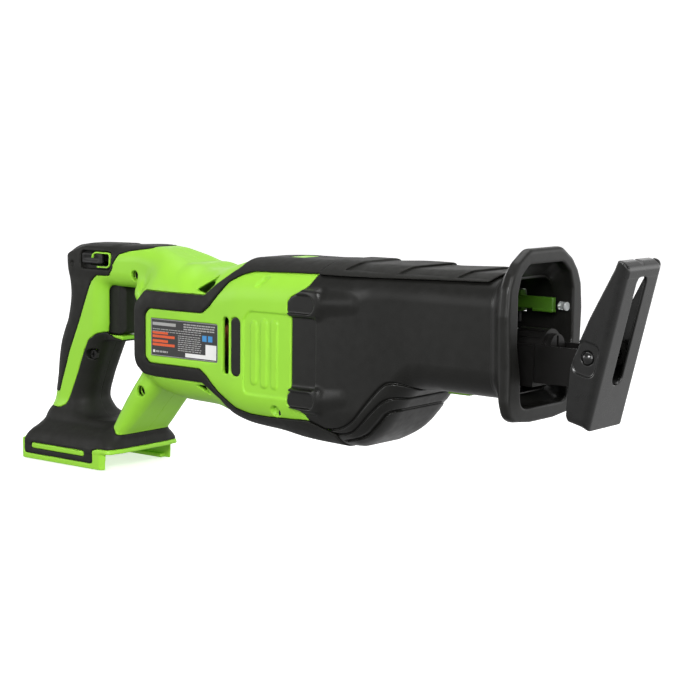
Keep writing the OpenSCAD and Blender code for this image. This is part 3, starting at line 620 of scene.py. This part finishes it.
# The back skin wraps into the lock-off recess
back_skin = cut(cut(back_skin, lock_pocket, 0.8), trigger_hole, 0.8)
grip_skin = cut(grip_skin, trigger_hole, 0.8)
liner = np.maximum(g.side(slab_round(X - LOCK_X, Z - LOCK_Z, 17.2, 8.0, 4.5)), 12.0 - g.y)
liner = both(form - 0.25, liner, 0.2)
shell = cut(shell, liner + 0.02)
back_skin = cut(join(back_skin, liner), lock_pocket, 0.8)
bar_room = block(g, [-187, -1, 138.5], [-169, 15.5, 146.4], 0.5)
back_skin, shell = cut(back_skin, bar_room), cut(shell, bar_room)

# Each half ends just past the parting plane
middle = -0.25 - g.y
shell, grip_skin, back_skin, band_skin = (
    both(d, middle) for d in (shell, grip_skin, back_skin, band_skin))


def counterbores(d):
    """The field with a head and a shank hole for each screw in the shell."""
    for sx, sz, sy in SCREWS:
        d = cut(d, bore_y(g, sx, sz, 3.6, sy - 0.5, 60), 0.6)
        d = cut(d, bore_y(g, sx, sz, 2.05, -1, 60))
    return d


# The right half has the screw holes, an oval one in the grip and a slanted one low on the body
oval = np.sqrt(((g.x - GRIP_SCREW[0]) / 5.2) ** 2 + ((g.z - GRIP_SCREW[1]) / 3.8) ** 2 + 0 * g.y)
oval = np.maximum((oval - 1) * 4.0, 11.8 - g.y)
slanted = join(rod(g, [0, 60, 57.4], [0, 36, 57.4], 4.1),
               rod(g, [0, 60, 57.4], [6.5, 38, 51.8], 3.8, 2.2), 1.5)
right_shell = cut(counterbores(shell), slanted, 0.5)
right_shell = cut(right_shell, oval - 2.2, 0.5)
right_shell = join(right_shell, both(block(g, [-7, 24, 46], [15, 32.5, 64], 0.5), form + 2.2))
right_grip = join(grip_skin, np.maximum(np.maximum(oval - 1.5, 11.9 - g.y), form + 0.4))
right_shell = cut(right_shell, right_grip - 0.05)
right_grip = cut(right_grip, oval, 0.6)
small_hole = bore_y(g, -202, 138.5, 1.9, 10, 40)
right_back = cut(back_skin, np.maximum(small_hole, -(form + 0.9)), 0.4)

# The pieces of one half: name, CAD node, material and slot
PARTS = (("shell", "housing", LIME, "lime_plastic"),
         ("back_grip", "handle_back_grip", RUBBER, "overmould"),
         ("front_grip", "front_grip", RUBBER, "overmould"),
         ("band", "body_band", RUBBER, "overmould"))
for label, fields in (
    ("right", (right_shell, right_back, right_grip, band_skin)),
    ("left", (shell, back_skin, grip_skin, band_skin)),
):
    for (shown, node, mat, slot), d in zip(PARTS, fields):
        on_side(shown, g, d, label, [node + "_" + label], mat)

# ---------------------------------------------------------------- lime edge round the lock-off recess
g = Grid([-188, 9, 133], [-160, 20, 151], FINEST)
X, Z = g.xz
near = g.even(body_form(g)[0])
loop = np.abs(g.side(slab_round(X + 172.8, Z - 142.4, 8.7, 4.8, 3.4))) - 0.5
loop = np.maximum(loop, np.minimum(-(g.x + 176) + 0 * g.y, 143.5 - g.z + 0 * g.y))
loop = both(np.maximum(near - 0.62, -near - 1.2), loop, 0.3)
for label, _ in SIDES:
    on_side("lock_edge", g, loop, label, [], LIME)

# ---------------------------------------------------------------- vent pads and rating labels
g = Grid([-38, 33, 74], [-26, 39, 117], FINE)
pad = np.maximum(slab_round(g.x - PAD_X, g.z - PAD_Z, 4.25, 18.85, 4.0) + 0 * g.y, 34 - g.y)
pad = both(pad, g.y - 37.1, 0.9)
for label, sign in SIDES:
    # Both pads are one CAD node, which the left one stands for
    on_side("vent_pad", g, pad, label, ["vent_inserts"] if sign > 0 else [], NOSE)


def slips(name, boxes, sign):
    """Flat printed areas: [x0, x1, z0, z1, y0, y1] in millimetres."""
    sides = ((0, 1, 3, 2), (4, 6, 7, 5), (0, 4, 5, 1), (2, 3, 7, 6), (0, 2, 6, 4), (1, 5, 7, 3))
    points, faces = [], []
    for x0, x1, z0, z1, y0, y1 in boxes:
        n = len(points)
        points += [(x * MM, sign * y * MM, z * MM) for x in (x0, x1) for y in (y0, y1) for z in (z0, z1)]
        faces += [[n + i for i in side] for side in sides]
    mesh = bpy.data.meshes.new(name)
    mesh.from_pydata(points, [], faces)
    if sign < 0:
        mesh.flip_normals()
    return mesh


def bars(rows, x0, x1, z, tall, pitch, fill, seed):
    """Rows of short bars that stand for printed words."""
    rng = np.random.default_rng(seed)
    out = []
    for row in range(rows):
        x = x0
        while x < x1 - 1:
            w = min(rng.uniform(1.2, 3.8), x1 - x)
            out.append([x, x + w * fill, z - row * pitch - tall, z - row * pitch])
            x += w
    return out


# The label's frame, heading bars, text bars, warning bars, two square marks and a plain white panel
LEFT, RIGHT, LOW, HIGH = -107.0, -48.2, 84.4, 108.6
FACE = 35.95
RULE = 0.35
frame_bars = [[LEFT, RIGHT, HIGH - RULE, HIGH], [LEFT, RIGHT, LOW, LOW + RULE],
              [LEFT, LEFT + RULE, LOW, HIGH], [RIGHT - RULE, RIGHT, LOW, HIGH]]
grey = frame_bars + [[LEFT + 1.2, LEFT + 22, HIGH - 4.2, HIGH - 2.2]]
grey += bars(3, LEFT + 29, RIGHT - 2, HIGH - 1.6, 0.8, 1.6, 0.85, 1)
grey += bars(2, LEFT + 1.4, LEFT + 45, HIGH - 6.4, 0.5, 1.5, 0.8, 2)
grey += bars(8, LEFT + 24, LEFT + 45, HIGH - 9.6, 0.5, 1.35, 0.8, 3)
grey += bars(1, LEFT + 4, LEFT + 15, LOW + 3.4, 1.2, 1.5, 0.85, 4)
orange = [[LEFT + 1.2, LEFT + 15, z - 1.7, z] for z in (HIGH - 8.2, HIGH - 13.6)]
orange += [[LEFT + 1.2, LEFT + 21, z - 1.7, z] for z in (HIGH - 10.6, HIGH - 16.0)]
white = [[RIGHT - 10.5, RIGHT - 1.2, LOW + 1.0, LOW + 10.5],
         [LEFT + 30.5, RIGHT - 10.5, LOW + 1.0, LOW + 3.6],
         [LEFT + 1.6, LEFT + 3.4, LOW + 2.0, LOW + 3.8]]
blue = [[RIGHT - inset, RIGHT - inset + 3.8, LOW + 12.4, LOW + 16.2] for inset in (13.4, 8.4)]
for label, sign in SIDES:
    plate = [[LEFT - 0.3, RIGHT + 0.3, LOW - 0.3, HIGH + 0.3, 35.35, FACE]]
    piece("label_plate_" + label, slips("label_plate_" + label, plate, sign), "housing",
          ["label_" + label], FOIL)
    for shade, areas, mat in (("grey", grey, INK_GREY), ("orange", orange, INK_ORANGE),
                              ("blue", blue, INK_BLUE), ("white", white, INK_WHITE)):
        # On the left side the layout runs the other way along X
        flip = [[LEFT + RIGHT - b[1], LEFT + RIGHT - b[0]] + b[2:] if sign > 0 else b for b in areas]
        boxes = [b + [FACE - 0.1, FACE + 0.03] for b in flip]
        name = "label_" + shade + "_" + label
        piece(name, slips(name, boxes, sign), "housing", [], mat)

# ---------------------------------------------------------------- nose cover
g = Grid([4, 0, 34], [178, 44, 170], MIDDLE)
X, Z = g.xz
cover = g.even(loft_x(g, COVER))
green_zone = outline(X, Z, GREEN_FRONT, 2.0)
plain = cover.copy()
# Screw bosses that swell out of the rear corners and taper forward: [low z, high z, tip]
BOSSES = ((119.0, 136.0, (61, 32.4, 128.6)), (60, 75.5, (53, 32.6, 71.2)))
for z0, z1, tip in BOSSES:
    boss = block(g, [-5, 10, z0], [37, 40.2, z1], 2.2)
    nose = rod(g, [33, 33.6, (z0 + z1) / 2], tip, (z1 - z0) / 2 - 1.2, 5.6)
    boss = join(boss, nose, 4)
    cover = join(cover, boss, 3.0)
# The recessed panel between the bosses
panel = outline(X, Z, [[0, 74], [33.5, 74], [33.5, 118.5], [0, 118.5]], 2.5)
cover = cover + 1.7 * g.side(ramp(-panel, -0.45, 0.45)) * ramp(g.y, 22, 30)
# Screw recesses in the bosses
for z0, z1 in ((121.0, 132.4), (62.6, 72.4)):
    way = g.side(slab_round(X - 7, Z - (z0 + z1) / 2, 27, (z1 - z0) / 2, (z1 - z0) / 2 - 0.3))
    cover = cut(cover, np.maximum(way, 37.8 - g.y), 0.9)
# Grooves that follow the chin: the line of each and its depth
for line, deep in (
    ([[18, 50], [40, 49.5], [59, 55], [72, 70], [83, 82], [89, 84.6], [95, 83.6], [103, 80], [114, 74]], 0.8),
    ([[30, 47.5], [56, 48.5], [66, 56], [76, 66], [84, 73.5], [91, 75], [98, 72.5], [106, 69]], 0.8),
    ([[50, 44], [66, 48], [76, 57], [83, 65.5], [90, 67], [97, 64]], 0.7),
):
    away = trace(X, Z, line)
    groove = ramp(-away, -1.0, -0.3) + 0.9 * clip01(1.3 - np.abs(away - 0.2) / 0.6)
    cover = cover + deep * g.side(groove)
# The upper skin with its slanted pads
pad_zone = outline(X, Z, [[31, 144.9], [45, 144.9], [153, 147.4], [162, 156], [166, 175],
                          [20, 175], [27, 150]], 2.5)
slant = g.x - 1.33 * (np.minimum(g.z, 153) - 149)
sunk = 0 * slant
for start, end in ((49, 86), (90, 127), (131, 158)):
    sunk = sunk + 1.4 * ramp(slant, start, start + 0.7) * (1 - clip01((slant - start) / (end - start)))
sunk = sunk * ramp(g.z, 148.3, 148.9)
top_skin = both(plain - 2.0 + sunk, g.side(pad_zone + SEAM), 0.9)
top_skin = both(top_skin, g.side(-(green_zone - 0.3)), 0.5)
top_skin = both(top_skin, -(plain + 1.2), 0.2)
cover = cut(cover, np.maximum(g.side(pad_zone - SEAM), -(plain + 1.3)), 0.3)
shell = both(cover, -(plain + WALL))
# A wall inside, with a round opening on the plunger's axis
round_hole = np.sqrt(g.y ** 2 + (g.z - PLUNGER_Z) ** 2)
wall = np.maximum(np.maximum(np.abs(g.x - 97) - 1.2, 104 - g.z), 15.6 - round_hole)
shell = join(shell, np.maximum(wall, plain + 0.6))
shell = both(shell, g.side(-(green_zone - 0.15)), 0.4)
shell = both(both(shell, g.x - 161), g.y - 40.9, 0.5)
# Openings for the shoe's release button, and on the left for the blade lever
shell = cut(shell, block(g, [111.5, -9, 60], [127.5, 8.6, 90], 0.8), 0.4)
wide, shell = whole(g, shell)
window = block(wide, [131.4, 25, 125.7], [140.6, 60, 139.3], 0.6)
shell = cut(shell, window, 0.4)
mesh = mesh_from("nose_shell", wide, shell)
piece("nose_shell", mesh, "housing", ["nose_cover", "chin_grip"], NOSE)
wide, top_skin = whole(g, top_skin)
piece("top_grip", mesh_from("top_grip", wide, top_skin), "housing", ["nose_top_grip"], RUBBER)

# ---------------------------------------------------------------- nose ring
RING_REAR, RING_FRONT = 158, 174
# Half outlines seen from the front: [y, z]
RING_OUT = [[18, 167], [29.5, 160], [35.6, 153], [39.5, 145], [41, 130], [39.5, 100],
            [39.5, 80], [37, 72], [31, 69], [12, 67]]
RING_IN = [[18, 158], [26, 152], [29.5, 142], [29.5, 112], [26, 95], [25, 76]]


def two_sided(points):
    """A closed outline from its half."""
    return points + [[-y, z] for y, z in points[::-1]]


g = Grid([150, 0, 62], [177, 44, 170], FINE)
Y, Z = g.yz
outer = g.front(outline(Y, Z, two_sided(RING_OUT), 11))
bore = g.front(outline(Y, Z, two_sided(RING_IN), 7))
barrel = g.front(slab_round(Y, Z - 115.4, 34.2, 35.8, 18.2))
flare = ramp(g.x, 158.5, 169.5) ** 1.2
d = barrel + (outer - barrel) * flare
inside = (barrel + 3.4) + (bore - barrel - 3.4) * ramp(g.x, RING_REAR, 169)
d = both(d, g.x - RING_FRONT, 3.2)
d = both(d, RING_REAR - g.x, 0.5)
d = cut(g.even(d), inside, 1.6)
wide, d = whole(g, d)
piece("nose_flange", mesh_from("nose_flange", wide, d), "housing", ["nose_ring"], NOSE)

# ---------------------------------------------------------------- blade release lever
g = Grid([110, 20, 122], [167, 42, 142], FINE)
# The outer paddle with its finger ribs, then the arm through the window to the clamp
d = block(g, [112, 36.2, 126.2], [139.8, 39.4, 138.8], 0.9)
for x in (114.5, 117, 119.5, 122):
    d = cut(d, rod(g, [x, 39.9, 127], [x, 39.9, 138], 0.8), 0.3)
d = join(d, block(g, [132, 26, 126.1], [140, 37, 138.9], 0.5), 0.8)
d = join(d, block(g, [134, 22.8, 128.6], [164.2, 26.4, 136.0], 0.7), 0.8)
d = join(d, block(g, [150, 22.2, 127.2], [164.3, 26.8, 128.8], 0.5), 0.4)
d = cut(d, np.maximum(np.sqrt((g.x - 136) ** 2 + (g.y - 31) ** 2) - 1.7, 120 - g.z), 0.2)
# The lever's darker lime is painted shade from the cavity round it
piece("release_lever", mesh_from("release_lever", g, d), "release_lever",
      ["blade_release_lever"], SHADED_LIME)

# ---------------------------------------------------------------- shoe
# The shoe is built upright in its own frame, with the foot of its face at the origin, then leant
TILT = math.radians(14)
FOOT_X, FOOT_Z = 211.6, 64.1
PIVOT_X, PIVOT_Z = 213.5, 108.5
SHOE_Y = 20.8
SHEET = 2.0
FLANGE = [[4, 3], [4, 104], [-4.4, 104], [-5.4, 96.4], [-13.3, 65.5], [-16.6, 48], [-17.8, 34],
          [-13.2, 8], [-11, 3]]
g = Grid([-21, 0, -3], [5, 24, 106], FINE)
U, W = g.xz
# The sheet's section: a face with a flange bent back on each side
x, y = g.xy
sheet = slab_round(x + 20, y, 22, SHOE_Y, 4.8)
hollow = slab_round(x + 22, y, 22, SHOE_Y - SHEET, 2.8)
section = g.top(np.maximum(sheet, -hollow))
profile = outline(U, W, FLANGE, 3.0)
d = both(section, g.side(profile), 0.7)
slot = slab_round(g.y + 0 * g.z, g.z - 61.5, 5.5, 32.5, 5.4)
d = cut(d, np.maximum(slot, -3 - g.x), 0.5)
# The top of the face rolls back into a lip between two relief notches
outer_roll = slab_round(g.x + 20, g.z - 50, 22, 51, 5.5)
lip = np.maximum(outer_roll, -(outer_roll + 2.2))
lip = np.maximum(lip, 93 - g.z)
lip = both(both(lip, -6.8 - g.x, 1.2), g.y - 17.2, 1.0)
lip = cut(lip, rod(g, [-30, 0, 101.6], [2.5, 0, 101.2], 1.4), 0.9)
d = both(d, outer_roll, 0.3)
d = cut(d, block(g, [-30, 17.0, 96.2], [0.9, 18.8, 109], 0.6), 0.3)
corner = slab_round(g.y + 0 * g.z, g.z - 73, SHOE_Y + 0.1, 70, 6)
d = both(d, corner, 0.5)
d = join(d, lip, 0.6)
# Pressed dishes and holes round the pivots
c, s = math.cos(TILT), math.sin(TILT)
dx, dz = PIVOT_X - FOOT_X, PIVOT_Z - FOOT_Z
pu, pw = dx * c - dz * s, dx * s + dz * c
ring = np.sqrt((g.x - pu) ** 2 + (g.z - pw) ** 2)
dish = slab_round(g.x - pu + 0.6, g.z - pw + 0.8, 7.2, 9.6, 4.6)
d = d + 0.8 * ramp(-dish, -0.6, 0.8) * ramp(g.y, SHOE_Y - 1.6, SHOE_Y - 0.6)
d = cut(d, np.maximum(ring - 4.1, 12 - g.y), 0.2)
wide, d = whole(g, d)
mesh = mesh_from("shoe", wide, d)
mesh.transform(Matrix.Translation(Vector((FOOT_X, 0, FOOT_Z)) * MM) @ Matrix.Rotation(TILT, 4, "Y"))
piece("shoe", mesh, "shoe", ["shoe_plate"], SHOE_PAINT)

# A domed rivet on each side, round the pivot axis
g = Grid([-6, 0, -6], [6, 24, 6], FINE)
ring = np.sqrt(g.x ** 2 + g.z ** 2)
seat = SHOE_Y - 1.6
dome = np.sqrt(ring ** 2 + ((g.y - seat) * 1.25) ** 2) - 4.0
d = join(np.maximum(dome, seat - g.y), np.maximum(ring - 3.9, np.abs(g.y - seat + 0.7) - 1.0), 0.3)
d = join(d, np.maximum(ring - 2.6, np.abs(g.y - 15.5) - 4.0))
wide, d = whole(g, d)
mesh = mesh_from("pivot_rivets", wide, d)
mesh.transform(Matrix.Translation(Vector((PIVOT_X, 0, PIVOT_Z)) * MM))
piece("pivot_rivets", mesh, "shoe_carrier", ["shoe_pivot_pin"], GLOSS)

# ---------------------------------------------------------------- trigger and lock-off
g = Grid([-192, 0, 86], [-156, 12, 128], FINE)
x, y = g.xy
plan = outline(x, y, [[-177.5, -8.8], [-177.5, 8.8], [-163.5, 8.8], [-159.4, 6.2], [-158.6, 0],
                      [-159.4, -6.2], [-163.5, -8.8]], 2.5)
d = both(g.top(plan), slab_round(g.x + 173, g.z - 108.1, 14.5, 17.2, 6.0), 1.2)
# The hollow for the finger, two pockets in the back and the stem
d = cut(d, rod(g, [-135.5, 0, 104], [-135.5, 0.01, 104], 22.6), 1.5)
d = cut(d, block(g, [-180, -7, 91], [-169, 7, 99], 1), 0.3)
d = cut(d, block(g, [-180, -7, 115.5], [-169, 7, 123], 1), 0.3)
stem = np.sqrt(g.y ** 2 + (g.z - 107) ** 2) - 2
d = join(d, np.maximum(stem, np.maximum(-190 - g.x, g.x + 177)), 0.3)
wide, d = whole(g, d)
piece("finger_trigger", mesh_from("finger_trigger", wide, d), "trigger",
      ["trigger"], RUBBER)

g = Grid([-195, 0, 136], [-170, 19, 150], FINE)
d = block(g, [-192.8, 13.9, 139.2], [-173.2, 16.7, 146.8], 1.2)
d = cut(d, rod(g, [-189, 18.4, 143], [-178, 18.4, 143], 2.6), 0.8)
d = join(d, block(g, [-185, -1, 140.4], [-179, 14.6, 145.6], 0.6), 0.6)
wide, d = whole(g, d)
piece("lock_off_lever", mesh_from("lock_off_lever", wide, d), "lock_off",
      ["lock_off_slider"], DARK)

# ---------------------------------------------------------------- looks of the CAD nodes that stay
LOOKS = {
    PLATED: ["gear_case_screws", "collar_spring", "trigger_spring", "release_spring"],
    GROUND: ["crank_bearings", "motor_bearings", "rotor_shaft", "motor_pinion", "crank_gear",
             "crank_shaft", "crank_pin", "plunger_shaft", "yoke"],
    LAMINATE: ["stator_core", "rotor_core"],
    # The housing screws take this dark steel as painted shade, so that their holes look dark
    OXIDE_AND_SHADE: ["housing_screws", "shoe_guide", "shoe_arm", "blade_clamp", "clamp_collar",
            "crank_counterweight"],
    CAST: ["gear_case_lower", "gear_case_upper", "motor_rear_bracket", "controller_module"],
    BRONZE: ["plunger_bushes", "crank_roller", "battery_contacts"],
    COPPER: ["stator_windings"],
    BOARD: ["hall_sensor_board"],
    RED_WIRE: ["battery_leads"],
    BLUE_WIRE: ["motor_leads"],
    LENS: ["led_lens"],
    DARK: ["lever_pin", "switch_module", "terminal_block", "cooling_fan"],
    RUBBER: ["plunger_seal"],
    LIME: ["shoe_release_button"],
}
for mat, names in LOOKS.items():
    for name in names:
        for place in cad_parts[name].material_slots:
            place.material = mat


# ---------------------------------------------------------------- floor, light and camera
def stage_floor():
    """A pale floor that glows a little, so that it renders as white as the backdrop."""
    mat = material("pale_floor", (0.93, 0.93, 0.93, 1.0), 0.7, 0.0, vary=0.005)
    mesh = bpy.data.meshes.new("floor")
    size = 30.0
    corners = [(-size, -size, 0), (size, -size, 0), (size, size, 0), (-size, size, 0)]
    mesh.from_pydata(corners, [], [(0, 1, 2, 3)])
    floor = bpy.data.objects.new("floor", mesh)
    floor.location.z = -0.6 * MM
    shader = mat.node_tree.nodes["Principled BSDF"]
    shader.inputs["Emission Color"].default_value = (1, 1, 1, 1)
    shader.inputs["Emission Strength"].default_value = 0.62
    mesh.materials.append(mat)
    bpy.context.scene.collection.objects.link(floor)
    floor.visible_diffuse = False
    floor.visible_glossy = False


def soft_light(name, place, target, size, power):
    """A rectangular lamp at place that faces target, in metres and watts."""
    data = bpy.data.lights.new(name, "AREA")
    data.shape = "RECTANGLE"
    data.size, data.size_y = size
    data.energy = power
    ob = bpy.data.objects.new(name, data)
    ob.location = place
    ob.rotation_euler = (Vector(target) - Vector(place)).to_track_quat("-Z", "Y").to_euler()
    bpy.context.scene.collection.objects.link(ob)


def studio_world():
    """A sky that is bright at the horizon, and brighter on the far side of the studio."""
    world = bpy.data.worlds.new("studio")
    world.use_nodes = True
    nodes, links = world.node_tree.nodes, world.node_tree.links
    way = nodes.new("ShaderNodeSeparateXYZ")
    links.new(nodes.new("ShaderNodeTexCoord").outputs["Generated"], way.inputs["Vector"])
    # Brightness from straight down (0) over the horizon (0.5) to straight up (1)
    levels = ((0.0, 0.24), (0.30, 0.45), (0.46, 0.5), (0.497, 1.05), (0.60, 1.05), (0.69, 0.38), (1.0, 0.2))
    sky = nodes.new("ShaderNodeValToRGB")
    while len(sky.color_ramp.elements) < len(levels):
        sky.color_ramp.elements.new(0.5)
    for stop, (at, level) in zip(sky.color_ramp.elements, levels):
        stop.position, stop.color = at, (level, level, level, 1)
    height = nodes.new("ShaderNodeMapRange")
    height.inputs["From Min"].default_value = -1.0
    links.new(way.outputs["Z"], height.inputs["Value"])
    links.new(height.outputs["Result"], sky.inputs["Fac"])
    links.new(sky.outputs["Color"], nodes["Background"].inputs["Color"])
    depth = nodes.new("ShaderNodeMapRange")
    for key, value in (("From Min", -0.8), ("From Max", 0.8), ("To Min", 0.75), ("To Max", 1.5)):
        depth.inputs[key].default_value = value
    links.new(way.outputs["Y"], depth.inputs["Value"])
    links.new(depth.outputs["Result"], nodes["Background"].inputs["Strength"])
    bpy.context.scene.world = world


def add_camera(azimuth, elevation, roll, target, distance):
    """A long lens that looks at target, from angles in degrees round it."""
    azimuth, elevation, roll = (math.radians(v) for v in (azimuth, elevation, roll))
    flat = math.cos(elevation)
    back = Vector((math.sin(azimuth) * flat, -math.cos(azimuth) * flat, math.sin(elevation)))
    right = Vector((math.cos(azimuth), math.sin(azimuth), 0))
    up = back.cross(right)
    across = math.cos(roll) * right + math.sin(roll) * up
    top = -math.sin(roll) * right + math.cos(roll) * up
    spot = Vector(target) + back * distance
    data = bpy.data.cameras.new("camera")
    data.lens, data.sensor_width = 96.0, 36.0
    camera = bpy.data.objects.new("camera", data)
    camera.matrix_world = Matrix(((across.x, top.x, back.x, spot.x), (across.y, top.y, back.y, spot.y),
                                  (across.z, top.z, back.z, spot.z), (0, 0, 0, 1)))
    bpy.context.scene.collection.objects.link(camera)
    bpy.context.scene.camera = camera


stage_floor()
studio_world()
MIDDLE_OF_SAW = (0, 0, 0.1)
soft_light("overhead", (0.0, 0.3, 1.5), MIDDLE_OF_SAW, (1.6, 1.2), 11)
soft_light("key", (0.75, -1.45, 0.8), MIDDLE_OF_SAW, (0.55, 0.5), 15)
soft_light("left", (-1.3, -1.1, 0.5), MIDDLE_OF_SAW, (0.5, 0.5), 4)
soft_light("spark", (1.15, -1.15, 0.95), (0.1, 0, 0.1), (0.22, 0.22), 5)
soft_light("right", (1.6, -0.4, 0.5), (0.1, 0, 0.1), (0.8, 1.0), 7.5)
add_camera(38.4, 6.7, 0.52, (0.0208, 0, 0.1029), 1.133)
bpy.context.scene.view_settings.view_transform = "Standard"
